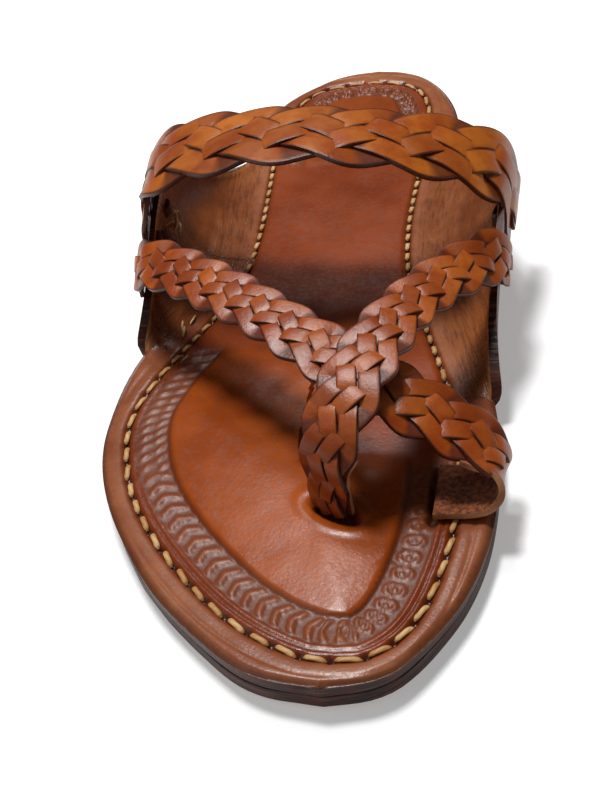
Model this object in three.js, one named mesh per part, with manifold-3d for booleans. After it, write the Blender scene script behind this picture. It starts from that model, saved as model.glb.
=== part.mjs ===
// Kolhapuri sandal, right foot. Millimetres, +Z up, toe towards -Y, medial side +X, floor at z = 0.
import * as THREE from 'three';
import { mergeVertices } from 'three/addons/utils/BufferGeometryUtils.js';
import Module from 'manifold-3d';

const wasm = await Module();
wasm.setup();

// driving sizes
const outsoleThickness = 3.4;
const topsoleThickness = 3.3;
const layerGap = 0.3;
const heelPieceThickness = 1.8;
const heelSlope = 0.039;
const heelSlopeStart = -40;
const toeSpring = 1.2;
const toeSpringStart = -108;
const heelBreast = 66;
const heelInset = 0.8;
const wingRootThickness = 3.0;
const wingTipThickness = 2.0;
const wingEndGap = 0.3;
const strapClearance = 0.3;
const soleStations = 46;
const strapStations = 30;
const sectionPoints = 12;

// the sole's rim, one row per station along the foot
const rim = [
  { y: -133.5, lateral: 17.6, medial: 18.8 },
  { y: -131, lateral: 5.6, medial: 28.6 },
  { y: -125, lateral: -4.2, medial: 35.4 },
  { y: -110, lateral: -20, medial: 43.9 },
  { y: -95, lateral: -31, medial: 48.2 },
  { y: -80, lateral: -39.6, medial: 49.7 },
  { y: -65, lateral: -45.2, medial: 49.6 },
  { y: -50, lateral: -47.4, medial: 48.3 },
  { y: -30, lateral: -46.8, medial: 44.2 },
  { y: -5, lateral: -41.2, medial: 35.6 },
  { y: 20, lateral: -34.6, medial: 29.6 },
  { y: 45, lateral: -32, medial: 29.8 },
  { y: 70, lateral: -33.6, medial: 31.9 },
  { y: 95, lateral: -32.8, medial: 30 },
  { y: 112, lateral: -29, medial: 24.9 },
  { y: 124, lateral: -19, medial: 17.3 },
  { y: 129.5, lateral: -9.6, medial: 9.4 },
  { y: 131.5, lateral: 0.2, medial: 1.2 },
];

// where the wings leave the topsole: its edge in the waist, just outside the stitching
const waist = [
  { y: -46, lateral: -38.6, medial: 38.8 },
  { y: -20, lateral: -35, medial: 32.8 },
  { y: -5, lateral: -30, medial: 28.4 },
  { y: 10, lateral: -24.6, medial: 24.2 },
  { y: 25, lateral: -23.6, medial: 21.9 },
  { y: 45, lateral: -26, medial: 22.4 },
  { y: 76, lateral: -28.6, medial: 23.9 },
];

// each wing: its tip and its fullest point at stations along the foot, height above the footbed
const medialWing = [
  { y: -45, tip: 46.6, belly: 46.6, height: 0 },
  { y: -38, tip: 45.8, belly: 46, height: 5 },
  { y: -28, tip: 45.4, belly: 46, height: 10 },
  { y: -16, tip: 46, belly: 46.8, height: 15.5 },
  { y: 0, tip: 46.8, belly: 47.6, height: 19.5 },
  { y: 16, tip: 47, belly: 48, height: 20 },
  { y: 28, tip: 45.2, belly: 46, height: 16.5 },
  { y: 40, tip: 41, belly: 41.4, height: 10.5 },
  { y: 54, tip: 36, belly: 36, height: 4.8 },
  { y: 66, tip: 33.2, belly: 33.2, height: 1.4 },
  { y: 76, tip: 32, belly: 32, height: 0 },
];
const lateralWing = [
  { y: -22, tip: 45.2, belly: 45.2, height: 0 },
  { y: -17, tip: 43.6, belly: 43.8, height: 6 },
  { y: -9, tip: 43, belly: 43.8, height: 12.5 },
  { y: 2, tip: 44.2, belly: 45.2, height: 17.5 },
  { y: 14, tip: 45.4, belly: 46.4, height: 20 },
  { y: 26, tip: 45.6, belly: 46.6, height: 20 },
  { y: 38, tip: 43.6, belly: 44, height: 16 },
  { y: 52, tip: 39.6, belly: 39.8, height: 9 },
  { y: 64, tip: 35.8, belly: 35.8, height: 3.2 },
  { y: 76, tip: 33.6, belly: 33.6, height: 0 },
];

// strap centrelines: a point, the way its face looks, its width and its thickness
const instepRows = [
  { x: -49.6, y: 14.6, z: 20, nx: -1, ny: -0.05, nz: -0.05, width: 24, thick: 4.2 },
  { x: -49.8, y: 17, z: 29, nx: -0.97, ny: -0.1, nz: 0.22, width: 25, thick: 4.2 },
  { x: -47.2, y: 18, z: 38, nx: -0.78, ny: -0.15, nz: 0.6, width: 26, thick: 4.2 },
  { x: -39, y: 15.8, z: 44.4, nx: -0.42, ny: -0.12, nz: 0.9, width: 26.5, thick: 4.2 },
  { x: -21, y: 11.9, z: 49.6, nx: -0.2, ny: -0.05, nz: 0.98, width: 27.5, thick: 4.2 },
  { x: -1, y: 9.6, z: 51.8, nx: 0, ny: 0, nz: 1, width: 28, thick: 4.2 },
  { x: 19, y: 10.4, z: 48.6, nx: 0.24, ny: -0.03, nz: 0.97, width: 27, thick: 4.2 },
  { x: 36.6, y: 14.6, z: 42, nx: 0.48, ny: -0.1, nz: 0.87, width: 26, thick: 4.2 },
  { x: 46.6, y: 17.5, z: 35, nx: 0.8, ny: -0.15, nz: 0.57, width: 25, thick: 4.2 },
  { x: 50.4, y: 18.4, z: 27, nx: 0.97, ny: -0.1, nz: 0.2, width: 24, thick: 4.2 },
  { x: 50.8, y: 18, z: 19, nx: 1, ny: 0, nz: -0.05, width: 23, thick: 4.2 },
];
const crossRows = [
  { x: -47.2, y: -6.4, z: 20, nx: -0.97, ny: -0.2, nz: 0.05, width: 13.5, thick: 4 },
  { x: -45.2, y: -9.6, z: 26, nx: -0.82, ny: -0.3, nz: 0.45, width: 13.5, thick: 4 },
  { x: -38, y: -15.6, z: 29.6, nx: -0.4, ny: -0.25, nz: 0.88, width: 13.5, thick: 4 },
  { x: -27, y: -24.4, z: 31.4, nx: -0.2, ny: -0.2, nz: 0.96, width: 13.5, thick: 4 },
  { x: -13.5, y: -36.4, z: 32.8, nx: -0.1, ny: -0.15, nz: 0.98, width: 13.5, thick: 4 },
  { x: 0, y: -48.7, z: 33.2, nx: 0, ny: -0.15, nz: 0.99, width: 13.5, thick: 4 },
  { x: 10, y: -57.5, z: 32.6, nx: 0.1, ny: -0.2, nz: 0.97, width: 13.5, thick: 4 },
  { x: 19, y: -64, z: 30.8, nx: 0.2, ny: -0.25, nz: 0.94, width: 13.5, thick: 4 },
  { x: 28, y: -68.7, z: 27.4, nx: 0.3, ny: -0.25, nz: 0.92, width: 13.5, thick: 4 },
  { x: 37, y: -71, z: 23, nx: 0.45, ny: -0.25, nz: 0.85, width: 13.5, thick: 4 },
  { x: 45, y: -73.4, z: 18.6, nx: 0.68, ny: -0.25, nz: 0.68, width: 14, thick: 3.8 },
  { x: 50.4, y: -76.4, z: 14, nx: 0.96, ny: -0.15, nz: 0.2, width: 15, thick: 3 },
  { x: 49.4, y: -78.6, z: 10.2, nx: 0.78, ny: 0, nz: -0.6, width: 16, thick: 2.2 },
  { x: 44, y: -79.2, z: 8.7, nx: 0.12, ny: 0, nz: -1, width: 16.5, thick: 2 },
  { x: 36.6, y: -79, z: 8.5, nx: 0, ny: 0, nz: -1, width: 16.5, thick: 2 },
];
const toeRows = [
  { x: 50, y: -9, z: 20.8, nx: 0.98, ny: -0.15, nz: 0.1, width: 13, thick: 4 },
  { x: 48, y: -13, z: 27, nx: 0.84, ny: -0.25, nz: 0.45, width: 13, thick: 4 },
  { x: 39.6, y: -25.4, z: 30.8, nx: 0.35, ny: -0.25, nz: 0.9, width: 13, thick: 4 },
  { x: 30.6, y: -40.6, z: 33, nx: 0.2, ny: -0.2, nz: 0.96, width: 13, thick: 4 },
  { x: 24.6, y: -56, z: 34, nx: 0.05, ny: -0.25, nz: 0.96, width: 13, thick: 4 },
  { x: 20, y: -70, z: 32.6, nx: -0.1, ny: -0.42, nz: 0.9, width: 13, thick: 4 },
  { x: 16.5, y: -79, z: 27.8, nx: -0.32, ny: -0.76, nz: 0.56, width: 12.5, thick: 4 },
  { x: 14.2, y: -83, z: 21.6, nx: -0.48, ny: -0.86, nz: 0.18, width: 11.5, thick: 4 },
  { x: 13.8, y: -84.2, z: 14.5, nx: -0.52, ny: -0.85, nz: 0, width: 10.5, thick: 4 },
  { x: 14.6, y: -85, z: 7.35, nx: -0.5, ny: -0.86, nz: 0, width: 9.5, thick: 3.6 },
];

const lerp = (a, b, t) => a + (b - a) * t;

// a smooth curve through the rows of one table column, read at a fraction of the row number
function curveAt(values, at) {
  const last = values.length - 1;
  const i = Math.min(Math.floor(at), last - 1);
  const t = at - i;
  const p1 = values[i];
  const p2 = values[i + 1];
  const p0 = i > 0 ? values[i - 1] : 2 * p1 - p2;
  const p3 = i + 2 <= last ? values[i + 2] : 2 * p2 - p1;
  const a = 2 * p1;
  const b = p2 - p0;
  const c = 2 * p0 - 5 * p1 + 4 * p2 - p3;
  const d = 3 * p1 - p0 - 3 * p2 + p3;
  return 0.5 * (a + b * t + c * t * t + d * t * t * t);
}

// column value at a station y: the row fraction is found by halving, since y rises steadily
function columnAt(rows, column, y) {
  const ys = rows.map((row) => row.y);
  let low = 0;
  let high = rows.length - 1;
  for (let step = 0; step < 40; step += 1) {
    const middle = (low + high) / 2;
    if (curveAt(ys, middle) < y) low = middle;
    else high = middle;
  }
  return curveAt(rows.map((row) => row[column]), (low + high) / 2);
}

// height of the forefoot plane or the rise towards the heel and the toe
function riseAt(y) {
  if (y < toeSpringStart) {
    const t = (toeSpringStart - y) / (toeSpringStart + 133.5);
    return toeSpring * t * t;
  }
  const past = y - heelSlopeStart;
  if (past <= -15) return 0;
  if (past < 15) return heelSlope * (past + 15) * (past + 15) / 60;
  return heelSlope * past;
}

const outsoleTop = outsoleThickness;
const topsoleBottom = outsoleThickness + layerGap;
const footbed = topsoleBottom + topsoleThickness;

function merged(geometry) {
  geometry.deleteAttribute('normal');
  geometry.deleteAttribute('uv');
  return mergeVertices(geometry, 1e-5);
}

function toManifold(geometry) {
  const g = merged(geometry);
  return new wasm.Manifold(new wasm.Mesh({
    numProp: 3,
    vertProperties: new Float32Array(g.attributes.position.array),
    triVerts: new Uint32Array(g.index.array),
  }));
}

function fromManifold(solid) {
  const mesh = solid.getMesh();
  const geometry = new THREE.BufferGeometry();
  geometry.setAttribute('position', new THREE.BufferAttribute(new Float32Array(mesh.vertProperties), 3));
  geometry.setIndex(new THREE.BufferAttribute(new Uint32Array(mesh.triVerts), 1));
  geometry.computeVertexNormals();
  return geometry;
}

// a closed solid through rings of equal length, capped flat at both ends
function loft(rings) {
  const positions = [];
  const index = [];
  const n = rings[0].length;
  rings.forEach((ring) => ring.forEach((p) => positions.push(p.x, p.y, p.z)));
  for (let r = 0; r < rings.length - 1; r += 1) {
    for (let k = 0; k < n; k += 1) {
      const a = r * n + k;
      const b = r * n + (k + 1) % n;
      index.push(a, b, a + n, b, b + n, a + n);
    }
  }
  for (const r of [0, rings.length - 1]) {
    const centre = new THREE.Vector3();
    rings[r].forEach((p) => centre.add(p));
    centre.divideScalar(n);
    const c = positions.length / 3;
    positions.push(centre.x, centre.y, centre.z);
    for (let k = 0; k < n; k += 1) {
      const a = r * n + k;
      const b = r * n + (k + 1) % n;
      if (r === 0) index.push(c, b, a);
      else index.push(c, a, b);
    }
  }
  const geometry = new THREE.BufferGeometry();
  geometry.setAttribute('position', new THREE.Float32BufferAttribute(positions, 3));
  geometry.setIndex(index);
  const solid = new wasm.Manifold(new wasm.Mesh({
    numProp: 3,
    vertProperties: new Float32Array(positions),
    triVerts: new Uint32Array(index),
  }));
  if (solid.volume() < 0) throw new Error('loft is inside out');
  return solid;
}

// stations along the foot, closer together towards both ends
function stationsBetween(from, to, count) {
  const list = [];
  for (let i = 0; i <= count; i += 1) {
    list.push(lerp(from, to, (1 - Math.cos(Math.PI * i / count)) / 2));
  }
  return list;
}

function slabRing(y, lateral, medial, bottom, top) {
  return [
    new THREE.Vector3(lateral, y, bottom),
    new THREE.Vector3(lateral, y, top),
    new THREE.Vector3(medial, y, top),
    new THREE.Vector3(medial, y, bottom),
  ];
}

const heelEnd = rim[rim.length - 1].y;
const toeEnd = rim[0].y;
const stations = stationsBetween(toeEnd, heelEnd, soleStations);

function outsole() {
  return loft(stations.map((y) => {
    const rise = riseAt(y);
    return slabRing(y, columnAt(rim, 'lateral', y), columnAt(rim, 'medial', y), rise, rise + outsoleTop);
  }));
}

// the topsole's edge is the rim, except where a wing takes its place
function topsoleEdge(y, side, wing) {
  const start = wing[0].y - wingEndGap;
  const end = wing[wing.length - 1].y + wingEndGap;
  return y > start && y < end ? columnAt(waist, side, y) : columnAt(rim, side, y);
}

function topsole(extra) {
  const steps = [];
  for (const wing of [medialWing, lateralWing]) {
    for (const edge of [wing[0].y - wingEndGap, wing[wing.length - 1].y + wingEndGap]) {
      steps.push(edge - 0.02, edge + 0.02);
    }
  }
  const ys = stations.filter((y) => steps.every((s) => Math.abs(s - y) > 0.6)).concat(steps);
  const unique = [...new Set(ys.map((y) => Number(y.toFixed(4))))].sort((a, b) => a - b);
  return loft(unique.map((y) => {
    const rise = riseAt(y);
    const lateral = topsoleEdge(y, 'lateral', lateralWing);
    const medial = topsoleEdge(y, 'medial', medialWing);
    return slabRing(y, lateral, medial, rise + topsoleBottom, rise + footbed + extra);
  }));
}

// the heel's layers stand under the outsole, a little inside its edge
function heelLayer(bottomAt, topAt) {
  const length = heelEnd - heelBreast;
  const widest = (columnAt(rim, 'medial', 80) - columnAt(rim, 'lateral', 80)) / 2;
  return loft(stationsBetween(heelBreast, heelEnd - heelInset, 20).map((y) => {
    const onRim = heelBreast + (y - heelBreast) * length / (length - heelInset);
    const lateral = columnAt(rim, 'lateral', onRim);
    const medial = columnAt(rim, 'medial', onRim);
    const middle = (lateral + medial) / 2;
    const half = (medial - lateral) / 2 * (widest - heelInset) / widest;
    return slabRing(y, middle - half, middle + half, bottomAt(y), topAt(y));
  }));
}

// a wing's face at station y and fraction u from its root to its tip
function wingFace(rows, side, y, u) {
  const sign = side === 'medial' ? 1 : -1;
  const base = riseAt(y) + footbed;
  const root = columnAt(waist, side, y) + sign * wingEndGap;
  const tip = sign * columnAt(rows, 'tip', y);
  const belly = sign * columnAt(rows, 'belly', y);
  const height = Math.max(columnAt(rows, 'height', y), 0);
  const xs = [root, lerp(root, belly, 0.6), belly, tip];
  const zs = [base, base, base + 0.32 * height, base + height];
  const w = [(1 - u) ** 3, 3 * u * (1 - u) ** 2, 3 * u * u * (1 - u), u ** 3];
  const x = xs.reduce((sum, v, i) => sum + v * w[i], 0);
  const z = zs.reduce((sum, v, i) => sum + v * w[i], 0);
  return new THREE.Vector3(x, y, z);
}

function wing(rows, side, extra) {
  const sign = side === 'medial' ? 1 : -1;
  const columns = 9;
  const rings = [];
  const from = rows[0].y;
  const to = rows[rows.length - 1].y;
  const count = 24;
  for (let i = 0; i <= count; i += 1) {
    const y = lerp(from, to, i / count);
    const face = [];
    const back = [];
    for (let j = 0; j <= columns; j += 1) {
      const u = j / columns;
      const p = wingFace(rows, side, y, u);
      const du = wingFace(rows, side, y, Math.min(u + 0.01, 1)).sub(wingFace(rows, side, y, Math.max(u - 0.01, 0)));
      const dy = wingFace(rows, side, y + 0.5, u).sub(wingFace(rows, side, y - 0.5, u));
      const normal = du.cross(dy).normalize().multiplyScalar(sign);
      const thick = lerp(wingRootThickness, wingTipThickness, u);
      // near both ends the wing keeps to its own stations, so only the section's plane is used
      normal.y = 0;
      normal.normalize();
      face.push(p.clone().addScaledVector(normal, extra));
      back.push(p.clone().addScaledVector(normal, -thick - extra));
    }
    const ring = sign > 0 ? [...back, ...face.reverse()] : [...face, ...back.reverse()];
    rings.push(ring.reverse());
  }
  return loft(rings);
}

// a strap's rounded section swept along its rows
function strap(rows) {
  const value = (key, at) => curveAt(rows.map((row) => row[key]), at);
  const point = (at) => new THREE.Vector3(value('x', at), value('y', at), value('z', at));
  const last = rows.length - 1;
  const rings = [];
  for (let i = 0; i <= strapStations; i += 1) {
    const at = last * i / strapStations;
    const centre = point(at);
    const ahead = point(Math.min(at + 0.02, last)).sub(point(Math.max(at - 0.02, 0))).normalize();
    const normal = new THREE.Vector3(value('nx', at), value('ny', at), value('nz', at));
    normal.addScaledVector(ahead, -normal.dot(ahead)).normalize();
    const across = ahead.clone().cross(normal);
    const half = value('width', at) / 2;
    const thick = value('thick', at) / 2;
    const ring = [];
    for (let k = 0; k < sectionPoints; k += 1) {
      const angle = 2 * Math.PI * (k + 0.5) / sectionPoints;
      const c = Math.cos(angle);
      const s = Math.sin(angle);
      const wide = Math.sign(c) * Math.abs(c) ** 0.55 * half;
      const high = Math.sign(s) * Math.abs(s) ** 0.7 * thick;
      ring.push(centre.clone().addScaledVector(across, wide).addScaledVector(normal, high));
    }
    rings.push(ring.reverse());
  }
  return loft(rings);
}

const leather = {
  outsole: 0x5c3420,
  topsole: 0xa85a2c,
  wing: 0x74402a,
  strap: 0xb4622c,
  heel: 0x4c2a1a,
};

const group = new THREE.Group();

function addNode(name, solid, colour) {
  const material = new THREE.MeshStandardMaterial({ color: colour, roughness: 0.6 });
  const mesh = new THREE.Mesh(fromManifold(solid), material);
  mesh.name = name;
  group.add(mesh);
}

const medial = wing(medialWing, 'medial', 0);
const lateral = wing(lateralWing, 'lateral', 0);
const medialKeepOff = wing(medialWing, 'medial', strapClearance);
const lateralKeepOff = wing(lateralWing, 'lateral', strapClearance);
const keepOff = medialKeepOff.add(lateralKeepOff).add(topsole(strapClearance));
const instep = strap(instepRows).subtract(keepOff);
const toeStraps = strap(crossRows).add(strap(toeRows)).subtract(keepOff);

addNode('outsole', outsole(), leather.outsole);
addNode('topsole', topsole(0), leather.topsole);
addNode('heel_lift', heelLayer(() => heelPieceThickness + layerGap, (y) => riseAt(y) - layerGap), leather.heel);
addNode('heel_top_piece', heelLayer(() => 0, () => heelPieceThickness), leather.heel);
addNode('medial_wing', medial, leather.wing);
addNode('lateral_wing', lateral, leather.wing);
addNode('instep_strap', instep, leather.strap);
addNode('toe_straps', toeStraps, leather.strap);

export default group;
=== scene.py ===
import math

import bpy
import numpy as np
from mathutils import Matrix, Vector


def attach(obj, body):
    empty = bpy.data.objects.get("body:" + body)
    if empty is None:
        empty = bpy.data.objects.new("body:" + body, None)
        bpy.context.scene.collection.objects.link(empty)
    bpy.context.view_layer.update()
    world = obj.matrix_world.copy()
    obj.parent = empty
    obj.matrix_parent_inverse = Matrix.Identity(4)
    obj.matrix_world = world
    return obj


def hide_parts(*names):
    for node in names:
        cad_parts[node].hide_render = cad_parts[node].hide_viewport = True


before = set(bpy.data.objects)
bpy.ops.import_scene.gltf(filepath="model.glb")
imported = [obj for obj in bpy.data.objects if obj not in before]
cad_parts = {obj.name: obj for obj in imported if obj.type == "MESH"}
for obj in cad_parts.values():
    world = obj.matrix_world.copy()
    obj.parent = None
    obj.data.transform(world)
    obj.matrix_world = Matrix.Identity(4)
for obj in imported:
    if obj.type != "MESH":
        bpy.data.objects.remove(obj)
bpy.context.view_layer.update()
mm = 0.001
random = np.random.default_rng(7)
print("frame loaded")

# small helpers


def deselectAll():
    if bpy.context.object and bpy.context.object.mode != "OBJECT":
        bpy.ops.object.mode_set(mode="OBJECT")
    bpy.ops.object.select_all(action="DESELECT")


def activate(obj):
    deselectAll()
    obj.select_set(True)
    bpy.context.view_layer.objects.active = obj


def applyModifier(obj, kind, settings):
    activate(obj)
    modifier = obj.modifiers.new(kind.title(), kind)
    for key, value in settings.items():
        setattr(modifier, key, value)
    bpy.ops.object.modifier_apply(modifier=modifier.name)


def addGrid(name, across, along, place):
    # a primitive grid, each of its points moved to place(u, v), which is given and gives whole arrays
    deselectAll()
    bpy.ops.mesh.primitive_grid_add(x_subdivisions=across, y_subdivisions=along, size=1)
    grid = bpy.context.object
    grid.name = name
    flat = np.empty(len(grid.data.vertices) * 3)
    grid.data.vertices.foreach_get("co", flat)
    flat = flat.reshape(-1, 3)
    points = place(flat[:, 0] + 0.5, flat[:, 1] + 0.5)
    grid.data.vertices.foreach_set("co", (points * mm).ravel())
    grid.data.update()
    return grid


def pointsOf(obj):
    flat = np.empty(len(obj.data.vertices) * 3)
    obj.data.vertices.foreach_get("co", flat)
    return flat.reshape(-1, 3)


def movePoints(obj, points):
    obj.data.vertices.foreach_set("co", points.ravel())
    obj.data.update()


def paint(obj, name, values):
    layer = obj.data.attributes.new(name, "FLOAT_COLOR", "POINT")
    layer.data.foreach_set("color", np.asarray(values, dtype=np.float32).ravel())


def smoothShade(obj, degrees):
    activate(obj)
    bpy.ops.object.shade_smooth_by_angle(angle=math.radians(degrees))


def bevelEdges(obj, width, segments=2, degrees=50):
    applyModifier(obj, "BEVEL", {
        "width": width * mm, "segments": segments,
        "limit_method": "ANGLE", "angle_limit": math.radians(degrees),
    })


def faceOutwards(obj):
    activate(obj)
    bpy.ops.object.mode_set(mode="EDIT")
    bpy.ops.mesh.select_all(action="SELECT")
    bpy.ops.mesh.normals_make_consistent(inside=False)
    bpy.ops.object.mode_set(mode="OBJECT")


def shares(*columns):
    # three columns from 0 to 1 as a colour at each point
    return np.stack([*columns, np.ones(len(columns[0]))], 1)


def joinAll(name, parts):
    deselectAll()
    for part in parts:
        part.select_set(True)
    bpy.context.view_layer.objects.active = parts[0]
    bpy.ops.object.join()
    whole = bpy.context.object
    whole.name = name
    whole.data.name = name
    return whole


def finishPiece(obj, node):
    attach(obj, "root")
    if node:
        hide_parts(*node)


def smoothStep(low, high, value):
    t = np.clip((value - low) / (high - low), 0, 1)
    return t * t * (3 - 2 * t)


def hump(value, centre, width):
    return np.exp(-((value - centre) / width) ** 2)


def softNoise(a, b, stepA, stepB, seed):
    # smooth random field on two running sizes, both in millimetres
    table = np.random.default_rng(seed).uniform(-1, 1, (64, 64))
    x, y = np.asarray(a) / stepA, np.asarray(b) / stepB
    ix, iy = np.floor(x).astype(int), np.floor(y).astype(int)
    fx, fy = x - ix, y - iy
    fx, fy = fx * fx * (3 - 2 * fx), fy * fy * (3 - 2 * fy)
    p = table[ix % 64, iy % 64] * (1 - fx) + table[(ix + 1) % 64, iy % 64] * fx
    q = table[ix % 64, (iy + 1) % 64] * (1 - fx) + table[(ix + 1) % 64, (iy + 1) % 64] * fx
    return p * (1 - fy) + q * fy


# finishes


def colour(code):
    # sRGB hex to linear
    parts = [int(code[i:i + 2], 16) / 255 for i in (1, 3, 5)]
    return tuple(p / 12.92 if p <= 0.04045 else ((p + 0.055) / 1.055) ** 2.4 for p in parts) + (1,)


def addNode(tree, kind, settings=None, links=None):
    # settings: attribute or input socket to value; links: input socket to output socket
    node = tree.nodes.new("ShaderNode" + kind)
    for key, value in (settings or {}).items():
        if isinstance(key, str) and hasattr(node, key):
            setattr(node, key, value)
        else:
            node.inputs[key].default_value = value
    for key, source in (links or {}).items():
        tree.links.new(source, node.inputs[key])
    return node


def newMaterial(name):
    material = bpy.data.materials.new(name)
    material.use_nodes = True
    material.node_tree.nodes.clear()
    return material, material.node_tree


def finishMaterial(tree, shader):
    addNode(tree, "OutputMaterial", None, {"Surface": shader.outputs[0]})


def grained(tree, coords, pebble, fine, pebbleStrength, fineStrength, under=None):
    # leather grain: pebbles of a real size in millimetres, with finer pores inside them
    cells = addNode(tree, "TexVoronoi",
                    {"feature": "SMOOTH_F1", "Scale": 1000 / pebble, "Smoothness": 0.7}, {"Vector": coords})
    pebbles = addNode(tree, "Bump", {"Strength": pebbleStrength, "Distance": 0.12 * mm},
                      {"Height": cells.outputs["Distance"]})
    if under:
        tree.links.new(under, pebbles.inputs["Normal"])
    pores = addNode(tree, "TexNoise", {"Scale": 1000 / fine, "Detail": 3.0, "Roughness": 0.65},
                    {"Vector": coords})
    return addNode(tree, "Bump", {"Strength": fineStrength, "Distance": 0.1 * mm},
                   {"Height": pores.outputs["Fac"], "Normal": pebbles.outputs["Normal"]}).outputs["Normal"]


def stretched(tree, acrossSize, alongSize):
    # wrinkles drawn out along the stitching: "skin" holds the run and the distance outwards in millimetres
    place = addNode(tree, "Attribute", {"attribute_name": "skin"})
    squeezed = addNode(tree, "VectorMath", {"operation": "MULTIPLY", 1: (1 / alongSize, 1 / acrossSize, 1)},
                       {0: place.outputs["Vector"]})
    return addNode(tree, "TexNoise",
                   {"Scale": 1.0, "Detail": 3.0, "Roughness": 0.55, "Distortion": 0.25},
                   {"Vector": squeezed.outputs[0]}).outputs["Fac"]


def clouds(tree, coords, size, detail, low, high):
    # cloudy noise with patches of one size in millimetres: as it comes, and spread between two of its values
    blotch = addNode(tree, "TexNoise", {"Scale": 1000 / size, "Detail": detail, "Roughness": 0.6},
                     {"Vector": coords}).outputs["Fac"]
    cloud = addNode(tree, "MapRange", {"From Min": low, "From Max": high}, {"Value": blotch}).outputs[0]
    return blotch, cloud


def stained(tree, base, stains):
    # lays stains over a colour, each with its place, where it starts, where it is full, strength and colour
    for part, start, full, share, stain in stains:
        strength = addNode(tree, "MapRange", {"From Min": start, "From Max": full, "To Max": share},
                           {"Value": part}).outputs[0]
        base = addNode(tree, "Mix", {"data_type": "RGBA", 7: colour(stain)}, {0: strength, 6: base}).outputs[2]
    return base


def finishLeather(tree, coords, base, blotch, rough, grain, specular, under=None):
    # rougher in the blotches; grain: size of the pebbles and of the pores in millimetres, strength of each
    worn = addNode(tree, "MapRange",
                   {"From Min": 0.3, "From Max": 0.7, "To Min": rough[0], "To Max": rough[1]},
                   {"Value": blotch}).outputs[0]
    finishMaterial(tree, addNode(tree, "BsdfPrincipled", {"Specular IOR Level": specular}, {
        "Base Color": base, "Roughness": worn, "Normal": grained(tree, coords, *grain, under),
    }))


def tooledHide():
    # vegetable-tanned buffalo hide, oiled, tooled and burnished: a warm orange field, a browner worn rim,
    # dark in the tool marks
    material, tree = newMaterial("oiledTooledHide")
    coords = addNode(tree, "TexCoord").outputs["Object"]
    painted = []
    for name in ("zones", "fields", "marks"):
        attribute = addNode(tree, "Attribute", {"attribute_name": name})
        painted.append(addNode(tree, "SeparateColor", None, {0: attribute.outputs["Color"]}).outputs)
    zone, field, mark = painted
    blotch, cloud = clouds(tree, coords, 26, 4.0, 0.36, 0.64)
    speck = addNode(tree, "TexNoise", {"Scale": 1000 / 1.3, "Detail": 3.0, "Roughness": 0.7},
                    {"Vector": coords}).outputs["Fac"]
    pore = addNode(tree, "MapRange", {"From Min": 0.45, "From Max": 0.7}, {"Value": speck}).outputs[0]
    wrinkle = stretched(tree, 0.9, 8)
    fineWrinkle = stretched(tree, 0.45, 3.5)
    valley = addNode(tree, "MapRange", {"From Min": 0.5, "From Max": 0.38}, {"Value": wrinkle}).outputs[0]
    # painted shade in the valleys of the wrinkles
    creaseShade = addNode(tree, "Math", {"operation": "MULTIPLY"}, {0: valley, 1: mark[0]}).outputs[0]

    # dye of the waist, field, heel, stamped borders, rim and wings, each from a dark to a light cloud
    base = None
    for part, low, high in (
        (None, "#732c08", "#8a3a0e"), (field[0], "#8a3a08", "#a24a0c"), (field[1], "#80360a", "#964610"),
        (field[2], "#783618", "#8c4823"), (zone[0], "#804226", "#9c5e3c"), (zone[2], "#6c3416", "#8f5028"),
    ):
        dye = addNode(tree, "Mix", {"data_type": "RGBA", 6: colour(low), 7: colour(high)},
                      {0: cloud}).outputs[2]
        base = dye if base is None else addNode(tree, "Mix", {"data_type": "RGBA"},
                                                {0: part, 6: base, 7: dye}).outputs[2]
    # dark in the pores and tool marks and at the burnished outer edge; painted shade in the wrinkle creases,
    # the stitch holes, the slots and along the field's border; pale on the rubbed edge
    base = stained(tree, base, (
        (speck, 0.45, 0.7, 0.3, "#4d2512"), (creaseShade, 0, 1, 0.4, "#32150a"), (zone[1], 0, 1, 0.78, "#34140a"),
        (mark[1], 0, 1, 0.75, "#2c1108"), (mark[2], 0, 1, 0.7, "#b07a4a"),
    ))

    # the burnished field shines most, the pores and the stamped borders less
    rough = addNode(tree, "MapRange", {"From Min": 0.3, "From Max": 0.7, "To Min": 0.2, "To Max": 0.3},
                    {"Value": blotch}).outputs[0]
    for part in (pore, field[2]):
        rough = addNode(tree, "Math", {"operation": "MULTIPLY_ADD", 1: 0.14}, {0: part, 2: rough}).outputs[0]
    folds = addNode(tree, "Bump", {"Distance": 0.36 * mm}, {"Height": wrinkle, "Strength": mark[0]})
    lesser = addNode(tree, "Bump", {"Distance": 0.16 * mm},
                     {"Height": fineWrinkle, "Strength": mark[0], "Normal": folds.outputs["Normal"]})
    normal = grained(tree, coords, 0.9, 0.42, 0.18, 0.26, lesser.outputs["Normal"])
    shader = addNode(tree, "BsdfPrincipled", {"Specular IOR Level": 0.32},
                     {"Base Color": base, "Roughness": rough, "Normal": normal})
    finishMaterial(tree, shader)
    return material


def plainLeather(name, low, high, rough, pebble, strength, blotchSize=18, specular=0.25):
    # dyed leather in one colour with lighter clouds; its clouds are a little rougher
    material, tree = newMaterial(name)
    coords = addNode(tree, "TexCoord").outputs["Object"]
    blotch, cloud = clouds(tree, coords, blotchSize, 5.0, 0.35, 0.65)
    base = addNode(tree, "Mix", {"data_type": "RGBA", 6: colour(low), 7: colour(high)}, {0: cloud})
    finishLeather(tree, coords, base.outputs[2], blotch, rough, (pebble, 0.35, strength, 0.35), specular)
    return material


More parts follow.
